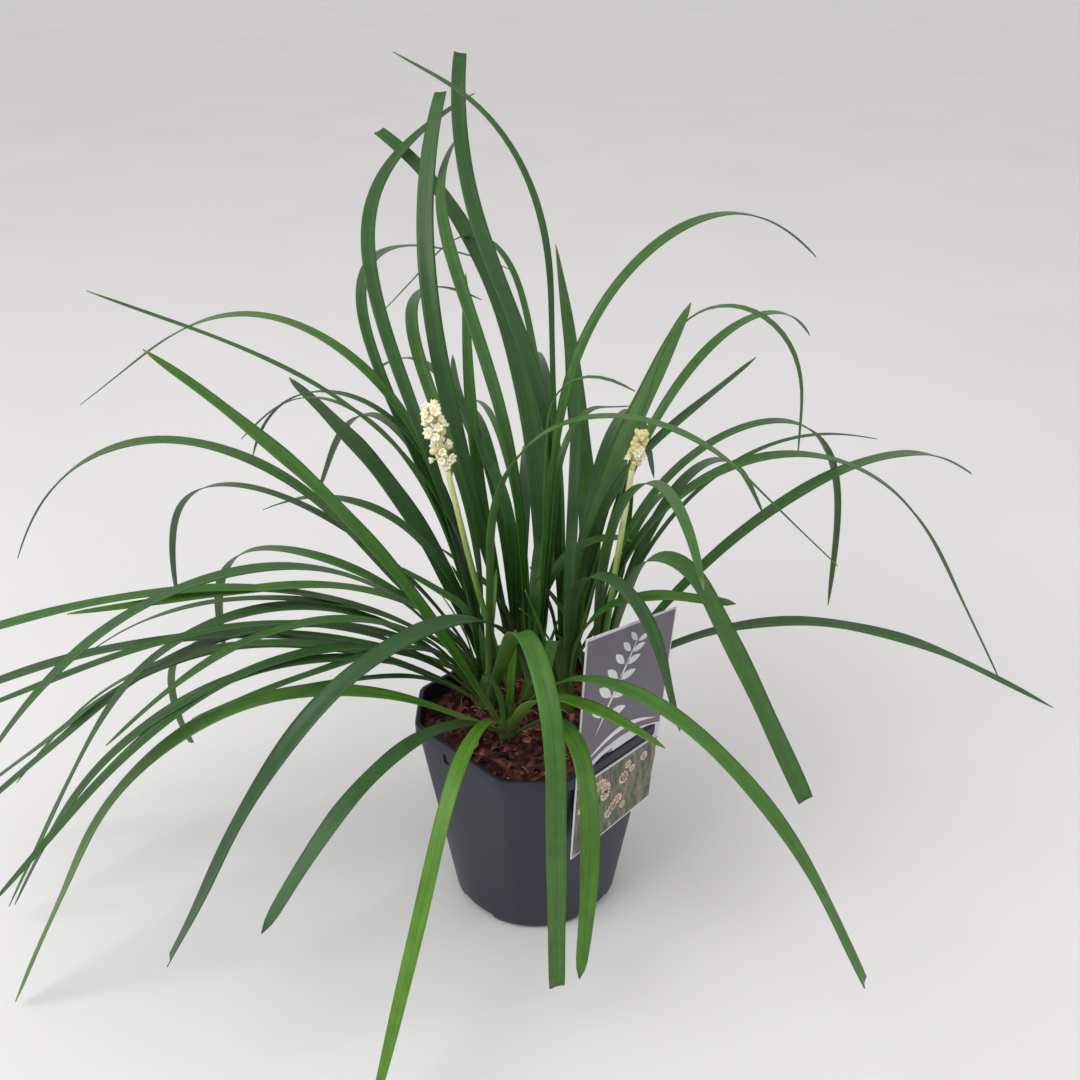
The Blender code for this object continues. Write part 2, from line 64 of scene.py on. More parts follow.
# The pot's finer look: how many sides it is drawn with, its blind openings' depths
POT_SIDES = 160
SLOT_DEPTH = 0.0012
DRAIN_DEPTH = 0.0016

# Leaves: where the blades start, their thickness, and the keel of their channel as
# a share of half the width, on the blade and added at its foot
BLADE_START = 0.147
LEAF_THICKNESS = 0.0006
VEIN_SPACING = 0.0009
KEEL = 0.16
FOOT_KEEL = 0.45
TIP_WIDTH = {"point": 0.14, "round": 0.4, "cut": 0.8}
YOUNG_LEAVES = 3
# The bundle of clasping leaf feet
BUNDLE_FOOT = 0.139
BUNDLE_HEIGHT = 0.033
BUNDLE_RADII = (0.0074, 0.0075, 0.0074, 0.0071, 0.0066, 0.0059, 0.0050, 0.0040, 0.0028)

# Flowers and bark
HEAD_FLOWER = 0.0034
CHIP_COUNT = 800
FIBRE_COUNT = 70

# The card's print: its pale edge, the dark strip's foot, and the films' thickness
CARD_EDGE = 0.0011
STRIP_FOOT = 0.1495
PICTURE_TOP = 0.1485
FILM = 0.00003

# The camera that sees the part as the photograph does
CAMERA_PLACE = (0.0034, -0.699, 0.678)
CAMERA_DIP = 28.79

Blade = namedtuple("Blade", "heading swing rise fall bend spread length width tip tone")

# The part's own blades, and each one's tone from light yellow green, 0, to deep
# blue green, 1. Angles in degrees, length and width in millimetres.
SHOOTS = {
    "shoot_front": ((-19, -17), (
        (170, 0, 62, 35, .55, .50, 360, 15, "point", .15),
        (201, -5, 36, -62, .42, .36, 480, 14, "point", .12),
        (236, -5, 47, -38, .45, .50, 262, 11, "round", .62),
        (253, -5, 56, -50, .25, .25, 330, 10, "point", .10),
        (-80, 42, 52, -12, .66, .45, 214, 13, "point", .05),
        (-66, 36, 56, -60, .52, .45, 405, 12, "cut", .18),
        (-43, -75, 44, -75, .40, .30, 262, 12, "round", .35),
    )),
    "shoot_left": ((-36, 18), (
        (212, 0, 68, -55, .50, .50, 490, 11, "point", .45),
        (203, 0, 62, -12, .35, .50, 390, 7, "point", .55),
        (203, -45, 50, -50, .40, .50, 440, 8, "point", .60),
        (190, 5, 62, -60, .35, .40, 510, 11, "point", .50),
        (218, -30, 51, -60, .45, .50, 435, 9, "point", .80),
        (195, 10, 50, 5, .25, .35, 180, 5, "point", .50),
        (213, -20, 69, -40, .45, .50, 330, 9, "point", .55),
        (211, 15, 66, 5, .30, .25, 255, 7, "point", .50),
        (189, -20, 40, -40, .35, .40, 460, 9, "point", .60),
        (212, -5, 66, -42, .35, .50, 420, 9, "point", .50),
        (-74, 0, 55, -88, .45, .20, 440, 13, "cut", .42),
        (160, -5, 86, 20, .55, .15, 140, 7, "point", .50),
        (-43, 50, 88, -45, .55, .30, 470, 11, "point", .45),
    )),
    "shoot_left_back": ((-34, 46), (
        (186, -10, 88, 20, .45, .45, 430, 5, "point", .60),
        (145, -15, 70, 15, .45, .50, 305, 16, "point", .80),
        (153, 0, 79, -35, .50, .35, 580, 9, "point", .50),
        (177, -5, 53, -65, .65, .40, 480, 11, "point", .35),
        (187, -80, 68, -65, .45, .50, 510, 7, "point", .50),
        (194, -95, 69, -65, .40, .50, 430, 9, "point", .50),
        (220, -135, 48, -65, .40, .50, 455, 6, "cut", .45),
        (204, -10, 63, -10, .30, .50, 500, 9, "point", .55),
        (198, -20, 39, -25, .35, .50, 530, 10, "point", .60),
        (220, -75, 58, -38, .45, .50, 380, 6, "point", .60),
        (200, 5, 72, 5, .30, .40, 330, 9, "point", .50),
        (199, -161, 81, 20, .49, .36, 550, 10, "point", .50),
        (196, -10, 46, -40, .35, .40, 460, 10, "point", .60),
        (190, -165, 83, -25, .50, .50, 580, 8, "point", .45),
        (196, -150, 88, -30, .60, .45, 450, 9, "point", .40),
        (158, -5, 81, -82, .70, .45, 380, 6, "point", .60),
        (143, -5, 74, -40, .55, .40, 410, 4, "point", .55),
        (157, 0, 78, -30, .55, .50, 270, 9, "point", .50),
        (125, 0, 72, -55, .50, .40, 430, 9, "point", .60),
    )),
    "shoot_back_left": ((-12, 60), (
        (155, -5, 84, 25, .50, .30, 120, 6, "point", .50),
        (132, -38, 88, 10, .42, .15, 335, 9, "point", .55),
        (161, -90, 78, 50, .45, .50, 450, 13, "cut", .50),
        (137, -50, 71, 70, .50, .40, 300, 9, "point", .40),
        (105, 0, 70, -60, .50, .40, 420, 9, "point", .60),
        (88, 0, 62, -55, .45, .40, 400, 10, "point", .55),
        (118, 5, 80, -30, .55, .40, 400, 8, "point", .60),
    )),
    "shoot_centre": ((-2, 30), (
        (244, -45, 88, -60, .35, .50, 450, 16, "cut", .75),
        (74, 80, 59, 15, .90, .46, 462, 15, "cut", .70),
        (172, -95, 88, 15, .55, .35, 495, 9, "point", .45),
        (66, 95, 64, -45, .70, .15, 500, 5, "point", .50),
        (115, -15, 85, -20, .55, .35, 335, 5, "point", .45),
        (82, 5, 88, 0, .40, .25, 220, 9, "point", .50),
        (73, 10, 88, -10, .45, .40, 170, 9, "point", .50),
        (20, 25, 86, -35, .65, .35, 540, 9, "point", .50),
        (0, -25, 88, -20, .85, .15, 300, 6, "point", .45),
        (35, 35, 83, -20, .65, .15, 320, 5, "point", .50),
        (53, -33, 88, -55, .72, .50, 178, 9, "point", .45),
    )),
    "shoot_back": ((22, 60), (
        (166, -80, 88, 40, .45, .20, 510, 12, "cut", .60),
        (57, 105, 50, 80, .50, .15, 335, 17, "point", .55),
        (47, 5, 84, 45, .40, .50, 300, 18, "point", .50),
        (-12, -20, 77, -88, .75, .20, 450, 6, "point", .45),
        (29, 25, 72, -55, .70, .50, 440, 8, "point", .50),
        (156, -20, 88, 15, .75, .20, 510, 6, "point", .50),
        (25, 10, 82, 25, .50, .30, 300, 10, "point", .60),
        (26, 40, 50, 80, .50, .15, 155, 5, "point", .50),
        (72, 0, 66, -55, .50, .40, 420, 9, "point", .60),
        (95, 5, 74, -50, .55, .40, 440, 8, "point", .60),
    )),
    "shoot_right": ((42, 34), (
        (-37, -15, 75, -50, .45, .15, 340, 15, "cut", .50),
        (-17, 5, 48, -25, .45, .50, 350, 12, "point", .70),
        (14, -10, 88, -60, .40, .40, 555, 11, "point", .50),
        (15, 38, 55, -30, .45, .50, 500, 11, "point", .60),
        (26, 8, 78, -20, .50, .50, 360, 4, "point", .60),
        (2, 58, 88, -88, .50, .45, 515, 8, "point", .45),
        (56, 10, 75, -20, .50, .40, 250, 5, "point", .50),
        (-58, -31, 88, -9, .55, .44, 385, 8, "point", .50),
        (52, 5, 62, -50, .50, .40, 380, 9, "point", .55),
    )),
    "shoot_right_front": ((22, 14), (
        (-65, 25, 88, -70, .55, .30, 270, 12, "point", .50),
        (-24, 10, 88, 0, .50, .40, 190, 11, "round", .45),
        (80, 10, 84, 30, .50, .35, 280, 8, "point", .60),
        (-110, 20, 80, 10, .50, .35, 160, 8, "point", .50),
    )),
}

# Flower stalks in millimetres: foot, waist, head's foot, head's top, the reach of
# the flowers, how many tiers, and the share that is open at foot and top
STALKS = {
    "left": ((-20, 32, 149), (-42, 25, 248), (-58, 21, 335), (-69, 23, 385), 11.0, 6, 0.95, 0.7),
    "right": ((44, 14, 149), (54, 13, 252), (64, 16, 338), (70, 18, 366), 8.8, 7, 0.6, 0.0),
}


def linear(code):
    """An sRGB hex colour as linear light."""
    channels = [int(code[i:i + 2], 16) / 255 for i in (1, 3, 5)]
    return [c / 12.92 if c < 0.04045 else ((c + 0.055) / 1.055) ** 2.4 for c in channels] + [1]


def put(tree, kind, inputs=(), stops=(), **settings):
    """Add a node with its settings, its values and links, and a ramp's colours."""
    made = tree.nodes.new("ShaderNode" + kind)
    for name, value in settings.items():
        setattr(made, name, value)
    for name, value in dict(inputs).items():
        if isinstance(value, bpy.types.NodeSocket):
            tree.links.new(value, made.inputs[name])
        else:
            made.inputs[name].default_value = value
    if stops:
        ramp = made.color_ramp.elements
        while len(ramp) < len(stops):
            ramp.new(1)
        for element, (place, code) in zip(ramp, stops):
            element.position = place
            element.color = linear(code)
    return made


def new_material(name, roughness, ior=1.5):
    """An empty material with its shader, ready for its colour."""
    mat = bpy.data.materials.new(name)
    mat.use_nodes = True
    shader = mat.node_tree.nodes["Principled BSDF"]
    shader.inputs["Roughness"].default_value = roughness
    shader.inputs["IOR"].default_value = ior
    return mat, mat.node_tree, shader


def leaf_skin(name, colours, pale, roughness):
    """Lilyturf leaf: a satin waxy skin over fine parallel veins, with
    a folded middle line darkened with painted shade, a pale foot, and streaks that run along the leaf."""
    mat, tree, shader = new_material(name, roughness, 1.45)
    # A thin leaf lets some light through, yellower than it reflects
    shader.inputs["Subsurface Weight"].default_value = 0.2
    shader.inputs["Subsurface Radius"].default_value = (0.6, 1, 0.2)
    shader.inputs["Subsurface Scale"].default_value = 0.001
    uv = put(tree, "UVMap", uv_map="leaf")
    tone = put(tree, "Attribute", attribute_name="tone")
    share = put(tree, "Attribute", attribute_name="share")
    body = put(tree, "ValToRGB", {"Fac": tone.outputs["Fac"]}, colours)

    # Streaks: noise stretched 40 times along the leaf
    drawn = put(tree, "Mapping", {"Vector": uv.outputs["UV"], "Scale": (25, 900, 1)})
    streak = put(tree, "TexNoise", {"Vector": drawn.outputs[0], "Scale": 1, "Detail": 3})
    mottle = put(tree, "TexNoise", {"Vector": uv.outputs["UV"], "Scale": 90, "Detail": 2})
    both = put(tree, "Math", {0: streak.outputs["Fac"], 1: mottle.outputs["Fac"]}, operation="ADD")
    shade = put(tree, "MapRange", {"Value": both.outputs[0], 1: 0.7, 2: 1.3, 3: 0.80, 4: 1.2})
    streaked = put(tree, "VectorMath", {0: body.outputs["Color"], "Scale": shade.outputs[0]},
                   operation="SCALE")

    # Veins: one sine wave for each vein across
    vein = put(tree, "TexWave", {"Vector": uv.outputs["UV"], "Scale": math.tau / 20 / VEIN_SPACING},
               bands_direction="Y")
    veined = put(tree, "MapRange", {"Value": vein.outputs["Fac"], 3: 0.86, 4: 1.06})
    lined = put(tree, "VectorMath", {0: streaked.outputs[0], "Scale": veined.outputs[0]},
                operation="SCALE")

    # Middle fold, 0.5 mm wide on either side of the middle: it sinks the bump and darkens the colour
    # there as painted shade
    parts = put(tree, "SeparateXYZ", {0: uv.outputs["UV"]})
    off = put(tree, "Math", {0: parts.outputs["Y"]}, operation="ABSOLUTE")
    crease_shade_and_dip = put(tree, "MapRange", {"Value": off.outputs[0], 1: 0.0002, 2: 0.0008, 3: 0.8, 4: 1})
    crease_shaded = put(tree, "VectorMath", {0: lined.outputs[0], "Scale": crease_shade_and_dip.outputs[0]},
                  operation="SCALE")

    # Pale foot and a dry, straw-coloured tip
    foot = put(tree, "MapRange", {"Value": share.outputs["Fac"], 1: 0.0, 2: 0.14, 3: 0.75, 4: 0})
    footed = put(tree, "Mix", {0: foot.outputs[0], 6: crease_shaded.outputs[0], 7: linear(pale)},
                 data_type="RGBA")
    dry = put(tree, "MapRange", {"Value": share.outputs["Fac"], 1: 0.975, 2: 1.0, 3: 0, 4: 0.6})
    ended = put(tree, "Mix", {0: dry.outputs[0], 6: footed.outputs[2], 7: linear("#8d8a4a")},
                data_type="RGBA")
    tree.links.new(ended.outputs[2], shader.inputs["Base Color"])

    gloss = put(tree, "MapRange", {"Value": mottle.outputs["Fac"], 3: roughness - 0.08,
                                   4: roughness + 0.1})
    tree.links.new(gloss.outputs[0], shader.inputs["Roughness"])
    height = put(tree, "Math", {0: vein.outputs["Fac"], 1: crease_shade_and_dip.outputs[0]}, operation="ADD")
    bump = put(tree, "Bump", {"Height": height.outputs[0], "Strength": 0.5, "Distance": 0.00015})
    tree.links.new(bump.outputs[0], shader.inputs["Normal"])
    return mat


def moulded_pot():
    """Moulded polypropylene: charcoal with a soft satin gloss, a fine grain from the
    mould, and a little dust and wiped dirt that greys it."""
    mat, tree, shader = new_material("polypropylene_moulded", 0.42, 1.49)
    place = put(tree, "TexCoord")
    cloud = put(tree, "TexNoise", {"Vector": place.outputs["Object"], "Scale": 14, "Detail": 6,
                                   "Roughness": 0.6})
    colour = put(tree, "ValToRGB", {"Fac": cloud.outputs["Fac"]},
                 ((0.3, "#171b27"), (0.55, "#1d212f"), (0.8, "#292c3b")))
    speck = put(tree, "TexNoise", {"Vector": place.outputs["Object"], "Scale": 420, "Detail": 2})
    dust = put(tree, "MapRange", {"Value": speck.outputs["Fac"], 1: 0.66, 2: 0.8, 3: 0, 4: 0.35})
    dusty = put(tree, "Mix", {0: dust.outputs[0], 6: colour.outputs["Color"], 7: linear("#5a5b64")},
                data_type="RGBA")
    tree.links.new(dusty.outputs[2], shader.inputs["Base Color"])
    rough = put(tree, "MapRange", {"Value": cloud.outputs["Fac"], 1: 0.3, 2: 0.75, 3: 0.36, 4: 0.52})
    tree.links.new(rough.outputs[0], shader.inputs["Roughness"])
    # Mould grain 0.4 mm across
    grain = put(tree, "TexNoise", {"Vector": place.outputs["Object"], "Scale": 2500, "Detail": 1})
    bump = put(tree, "Bump", {"Height": grain.outputs["Fac"], "Strength": 0.25, "Distance": 0.00005})
    tree.links.new(bump.outputs[0], shader.inputs["Normal"])
    return mat


def pine_bark_skin(name, chip):
    """Composted pine bark: matt, red brown, each flake its own tone, with darker
    fibres along it; on the fines, dark Voronoi pits are painted shade in hollows."""
    mat, tree, shader = new_material(name, 0.85, 1.4)
    place = put(tree, "TexCoord")
    if chip:
        source = put(tree, "Attribute", attribute_name="shade").outputs["Fac"]
    else:
        # Painted shade: the Voronoi cells darken towards their middles like shaded hollows in the
        # fines
        source = put(tree, "TexVoronoi", {"Vector": place.outputs["Object"], "Scale": 160}).outputs[0]
    body = put(tree, "ValToRGB", {"Fac": source},
               ((0.0, "#150a0b"), (0.3, "#371a1a"), (0.6, "#653230"), (0.82, "#8f524a"),
                (1.0, "#bb8c74")))
    drawn = put(tree, "Mapping", {"Vector": place.outputs["Object"], "Scale": (900, 260, 500)})
    fibre = put(tree, "TexNoise", {"Vector": drawn.outputs[0], "Scale": 1, "Detail": 4})
    shade = put(tree, "MapRange", {"Value": fibre.outputs["Fac"], 1: 0.3, 2: 0.7, 3: 0.55, 4: 1.3})
    fibred = put(tree, "VectorMath", {0: body.outputs["Color"], "Scale": shade.outputs[0]},
                 operation="SCALE")
    tree.links.new(fibred.outputs[0], shader.inputs["Base Color"])
    bump = put(tree, "Bump", {"Height": fibre.outputs["Fac"], "Strength": 0.6, "Distance": 0.0006})
    tree.links.new(bump.outputs[0], shader.inputs["Normal"])
    return mat


def plain_skin(name, code, roughness, spread=0.12, scale=300, ior=1.45):
    """A skin of one colour with soft blotches, for buds, stems, fibres and print."""
    mat, tree, shader = new_material(name, roughness, ior)
    place = put(tree, "TexCoord")
    cloud = put(tree, "TexNoise", {"Vector": place.outputs["Object"], "Scale": scale, "Detail": 3})
    shade = put(tree, "MapRange", {"Value": cloud.outputs["Fac"], 1: 0.3, 2: 0.7,
                                   3: 1 - spread, 4: 1 + spread})
    tinted = put(tree, "VectorMath", {0: linear(code)[:3], "Scale": shade.outputs[0]},
                 operation="SCALE")
    tree.links.new(tinted.outputs[0], shader.inputs["Base Color"])
    bump = put(tree, "Bump", {"Height": cloud.outputs["Fac"], "Strength": 0.2, "Distance": 0.0001})
    tree.links.new(bump.outputs[0], shader.inputs["Normal"])
    return mat


def stalk_skin():
    """Flower stalk: a smooth waxy green that pales to cream towards the head."""
    mat, tree, shader = new_material("flower_stem_skin", 0.5, 1.45)
    place = put(tree, "TexCoord")
    height = put(tree, "SeparateXYZ", {0: place.outputs["Object"]})
    pale = put(tree, "MapRange", {"Value": height.outputs["Z"], 1: 0.23, 2: 0.325})
    colour = put(tree, "ValToRGB", {"Fac": pale.outputs[0]},
                 ((0, "#5f8a3a"), (0.5, "#93ab5c"), (1, "#cdcf98")))
    drawn = put(tree, "Mapping", {"Vector": place.outputs["Object"], "Scale": (900, 900, 60)})
    streak = put(tree, "TexNoise", {"Vector": drawn.outputs[0], "Scale": 1, "Detail": 3})
    shade = put(tree, "MapRange", {"Value": streak.outputs["Fac"], 1: 0.3, 2: 0.7, 3: 0.86, 4: 1.12})
    tinted = put(tree, "VectorMath", {0: colour.outputs["Color"], "Scale": shade.outputs[0]},
                 operation="SCALE")
    tree.links.new(tinted.outputs[0], shader.inputs["Base Color"])
    bump = put(tree, "Bump", {"Height": streak.outputs["Fac"], "Strength": 0.3, "Distance": 0.0001})
    tree.links.new(bump.outputs[0], shader.inputs["Normal"])
    return mat


def printed_field():
    """Coated card, printed with soft greens and browns like a blurred border bed."""
    mat, tree, shader = new_material("print_planting", 0.35, 1.5)
    place = put(tree, "TexCoord")
    drawn = put(tree, "Mapping", {"Vector": place.outputs["Object"], "Scale": (220, 220, 70)})
    blur = put(tree, "TexNoise", {"Vector": drawn.outputs[0], "Scale": 1, "Detail": 5,
                                  "Distortion": 0.6})
    colour = put(tree, "ValToRGB", {"Fac": blur.outputs["Fac"]},
                 ((0.28, "#2b2b29"), (0.42, "#46503b"), (0.5, "#5e5d4b"), (0.6, "#7a6a5a"),
                  (0.75, "#a3968a")))
    tree.links.new(colour.outputs["Color"], shader.inputs["Base Color"])
    return mat


def piece(name, bm, materials, nodes=(), soft=True):
    """Make a finished mesh a piece of the part, standing for some of its solids."""
    mesh = bpy.data.meshes.new(name)
    bm.to_mesh(mesh)
    bm.free()
    for mat in materials:
        mesh.materials.append(mat)
    if soft:
        mesh.shade_smooth()
    obj = bpy.data.objects.new(name, mesh)
    bpy.context.scene.collection.objects.link(obj)
    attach(obj, "root")
    if nodes:
        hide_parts(*nodes)
    return obj


def extrude_on(bm, faces):
    """Extrude faces, leaving none behind inside, and give the new faces and vertices."""
    edges = {edge for face in faces for edge in face.edges}
    verts = {vert for face in faces for vert in face.verts}
    grown = bmesh.ops.extrude_face_region(bm, geom=[*faces, *edges, *verts])["geom"]
    return ([item for item in grown if isinstance(item, bmesh.types.BMFace)],
            [item for item in grown if isinstance(item, bmesh.types.BMVert)])


def pot_reach(angle, inset, roundness=0.0, radius=BASE_RADIUS):
    """Distance to the pot's outline, between the chamfered square and a circle."""
    total = 0
    for side in range(8):
        reach = (RIM_TO_FLAT if side % 2 else RIM_TO_CHAMFER) - inset
        facing = math.cos(angle - side * math.pi / 4)
        total += (max(facing, 0) / reach) ** CORNER_SHARPNESS
    square = total ** (-1 / CORNER_SHARPNESS)
    return square * (1 - roundness) + (radius - inset) * roundness


def pot_levels():
    """The pot's outline from the middle of its underside round to its floor, as
    height, inset, roundness and radius."""
    top = POT_HEIGHT - LIP_HEIGHT
    inner = LIP_STEP + WALL
    levels = [(0, 0, 1, 0.015), (FLOOR_UNDERSIDE, 0, 1, 0.0165)]
    levels += [(FLOOR_UNDERSIDE, 0, 1, radius) for radius in (*DRAIN_RADII, 0.0485)]
    levels += [(0, 0, 1, 0.050), (0, 0, 1, 0.0575), (0.0008, 0, 1, 0.0594)]
    outer = [0.0035, 0.0075, 0.016, 0.03, 0.05, 0.07, 0.09, 0.11, 0.125, *SLOT_Z, top - 0.0005]
    levels += [(z, LIP_STEP * z / top, 1 - z / top, BASE_RADIUS) for z in outer]
    levels += [(top, 0.0009, 0, 0), (top + 0.0003, 0.0002, 0, 0), (POT_HEIGHT - 0.0010, 0, 0, 0),
               (POT_HEIGHT - 0.0003, 0.0003, 0, 0), (POT_HEIGHT, 0.0009, 0, 0),
               (POT_HEIGHT, inner - 0.0009, 0, 0), (POT_HEIGHT - 0.0003, inner - 0.0003, 0, 0),
               (POT_HEIGHT - 0.0010, inner, 0, 0)]
    levels += [(z, WALL + LIP_STEP * z / top, 1 - z / top, BASE_RADIUS)
               for z in (top - 0.0005, 0.12, 0.08, 0.04, 0.0113)]
    return levels + [(FLOOR_TOP, 0, 1, BASE_RADIUS - WALL - 0.003), (FLOOR_TOP, 0, 1, 0.015)]


def shape_level(verts, z, inset, roundness, radius):
    """Set one ring of the pot, raised where an arch cuts the foot under a flat."""
    for vert in verts:
        angle = math.atan2(vert.co.y, vert.co.x)
        reach = pot_reach(angle, inset, roundness, radius)
        aside = (angle % (math.pi / 2)) - math.pi / 4
        span = abs(reach * math.sin(aside))
        arch = min(1, max(0, (ARCH_WIDTH / 2 + 0.0012 - span) / 0.0012)) if reach > 0.046 else 0
        vert.co = (reach * math.cos(angle), reach * math.sin(angle), max(z, ARCH_HEIGHT * arch))


def press_in(bm, faces, way):
    """Push a patch of faces into the wall as a blind opening with square walls."""
    bmesh.ops.translate(bm, verts=extrude_on(bm, faces)[1], vec=way)


def pot_shell(skin):
    """The whole moulded pot: foot arches, rounded chamfers, stepped lip and openings."""
    bm = bmesh.new()
    levels = pot_levels()
    made = bmesh.ops.create_circle(bm, cap_ends=True, segments=POT_SIDES, radius=0.01)["verts"]
    shape_level(made, *levels[0])
    face = made[0].link_faces[0]
    for level in levels[1:]:
        (face,), verts = extrude_on(bm, [face])
        shape_level(verts, *level)
    bmesh.ops.recalc_face_normals(bm, faces=bm.faces)

    for side in range(4):
        out = Matrix.Rotation(math.radians(45 + 90 * side), 3, "Z") @ Vector((1, 0, 0))
        spot = out * (RIM_TO_FLAT - 0.002) + out.cross(Vector((0, 0, -1))) * SLOT_ALONG
        spot.z = sum(SLOT_Z) / 2
        near = sorted(bm.faces, key=lambda f: (f.calc_center_median() - spot).length)
        press_in(bm, near[:2], -SLOT_DEPTH * out)
    for hole in range(8):
        way = math.tau * (hole + 0.5) / 8
        patch = []
        for face in bm.faces:
            middle = face.calc_center_median()
            turn = math.remainder(math.atan2(middle.y, middle.x) - way, math.tau)
            ring = DRAIN_RADII[0] < math.hypot(middle.x, middle.y) < DRAIN_RADII[1]
            if middle.z < FLOOR_UNDERSIDE + 0.0005 and ring and abs(turn) < 0.115:
                patch.append(face)
        press_in(bm, patch, (0, 0, DRAIN_DEPTH))
    shell = piece("pot_shell", bm, [skin], ("pot",))
    shell.data.set_sharp_from_angle(angle=math.radians(38))


def blade_line(root, blade, steps):
    """Points along a blade, as the part bends it."""
    heading = math.radians(blade.heading)
    outward = Vector((math.cos(heading), math.sin(heading), 0))
    point = Vector((root[0] / 1000, root[1] / 1000, BLADE_START)) + outward * 0.003
    line = [point.copy()]
    for i in range(steps):
        share = (i + 0.5) / steps
        turn = min(1, max(0, (share - blade.bend + blade.spread) / (2 * blade.spread)))
        turn = turn * turn * (3 - 2 * turn)
        climb = math.radians(blade.rise + (blade.fall - blade.rise) * turn)
        turned = math.radians(blade.heading + blade.swing * share)
        level = math.cos(climb)
        step = Vector((level * math.cos(turned), level * math.sin(turned), math.sin(climb)))
        point = point + step * (blade.length / 1000 / steps)
        line.append(point)
    return line


def blade_half(blade, share):
    """Half the width at a share of the length."""
    grown = 0.40 + 0.60 * min(1, share / 0.3)
    if share > 0.7:
        left = (1 - share) / 0.3
        end = TIP_WIDTH[blade.tip]
        grown *= end + (1 - end) * math.sqrt(left)
    if share > 0.94 and blade.tip != "cut":
        grown *= math.sqrt(max(0, 1 - ((share - 0.94) / 0.06) ** 2))
    return max(blade.width * grown, 0.5) / 2000


def grow_blade(bm, root, blade, rng):
    """Bend a fine grid along a blade: channelled, gently twisted, its edges uneven."""
    steps = 60 if blade.length > 300 else 36
    line = blade_line(root, blade, steps)
    twist = math.radians(rng.uniform(-16, 16))
    wave = rng.uniform(0, math.tau)
    tone = min(1, max(0, blade.tone + rng.uniform(-0.16, 0.16)))
    uv = bm.loops.layers.uv["leaf"]
    tones = bm.verts.layers.float["tone"]
    shares = bm.verts.layers.float["share"]
    made = bmesh.ops.create_grid(bm, x_segments=steps, y_segments=6, size=0.5)["verts"]
    flat = {}
    for vert in made:
        i = round((vert.co.x + 0.5) * steps)
        off = vert.co.y * 2
        share = i / steps
        along = (line[min(i + 1, steps)] - line[max(i - 1, 0)]).normalized()
        turned = math.radians(blade.heading + blade.swing * share)
        across = Vector((-math.sin(turned), math.cos(turned), 0))
        up = along.cross(across)
        roll = Matrix.Rotation(twist * share * share, 3, along)
        half = blade_half(blade, share)
        keel = KEEL + FOOT_KEEL * max(0, 1 - share / 0.25)
        lift = half * keel * abs(off) ** 1.4
        lift += half * 0.07 * abs(off) * math.sin(share * 26 + wave + off)
        vert.co = line[i] + roll @ (across * half * off + up * (lift - half * keel * 0.4))
        vert[tones] = tone
        vert[shares] = share if blade.tip == "point" else min(share, 0.96)
        flat[vert] = (share * blade.length / 1000, off * blade.width / 2000)
    for face in {face for vert in made for face in vert.link_faces}:
        for loop in face.loops:
            loop[uv].uv = flat[loop.vert]


def leaf_piece(name, root, rows, skins, rng):
    """All the leaves of one shoot, as thin closed blades."""
    bm = bmesh.new()
    bm.loops.layers.uv.new("leaf")
    bm.verts.layers.float.new("tone")
    bm.verts.layers.float.new("share")
    for row in rows:
        grow_blade(bm, root, Blade(*row), rng)
    for _ in range(YOUNG_LEAVES):
        young = Blade(rng.uniform(0, 360), rng.uniform(-30, 30), rng.uniform(76, 86),
                      rng.uniform(40, 80), 0.6, 0.3, rng.uniform(55, 105),
                      rng.uniform(4, 6), "point", rng.uniform(0.1, 0.5))
        grow_blade(bm, root, young, rng)
    wrap_foot(bm, root, rng)
    leaves = piece("leaves_" + name.removeprefix("shoot_"), bm, skins, (name,))
    shell = leaves.modifiers.new("thickness", "SOLIDIFY")
    shell.thickness = LEAF_THICKNESS
    shell.offset = 0
    shell.material_offset = 1
    return leaves


def wrap_foot(bm, root, rng):
    """The clasping leaf feet: a fluted bundle that narrows up into the blades."""
    uv = bm.loops.layers.uv["leaf"]
    tones = bm.verts.layers.float["tone"]
    shares = bm.verts.layers.float["share"]
    middle = Vector((root[0] / 1000, root[1] / 1000, 0))
    last = len(BUNDLE_RADII) - 1
    line = [middle + Vector((0, 0, BUNDLE_FOOT + BUNDLE_HEIGHT * k / last)) for k in range(last + 1)]
    skin = draw_stem(bm, line, BUNDLE_RADII, 24)
    turn = rng.uniform(0, math.tau)
    for vert in skin:
        off = vert.co - middle
        rise = (vert.co.z - BUNDLE_FOOT) / BUNDLE_HEIGHT
        wave = math.sin(math.atan2(off.y, off.x) * 5 + turn + rise * 1.5)
        flute = 1 + 0.11 * wave * (1 - 0.4 * rise)
        vert.co = middle + Vector((off.x * flute, off.y * flute, off.z))
        vert[tones] = 0.5
        vert[shares] = 0.09 + 0.05 * rise
    for face in {face for vert in skin for face in vert.link_faces}:
        for loop in face.loops:
            off = loop.vert.co - middle
            loop[uv].uv = (off.z, math.atan2(off.y, off.x) * 0.007)


def curve_through(corners, steps):
    """A smooth line through the corners, in metres."""
    pts = [Vector(corner) / 1000 for corner in corners]
    pts = [2 * pts[0] - pts[1]] + pts + [2 * pts[-1] - pts[-2]]
    line = []
    for a, b, c, d in zip(pts, pts[1:], pts[2:], pts[3:]):
        for k in range(steps):
            t = k / steps
            line.append(0.5 * ((2 * b) + (c - a) * t + (2 * a - 5 * b + 4 * c - d) * t * t
                               + (3 * b - a - 3 * c + d) * t ** 3))
    line.append(pts[-2])
    return line


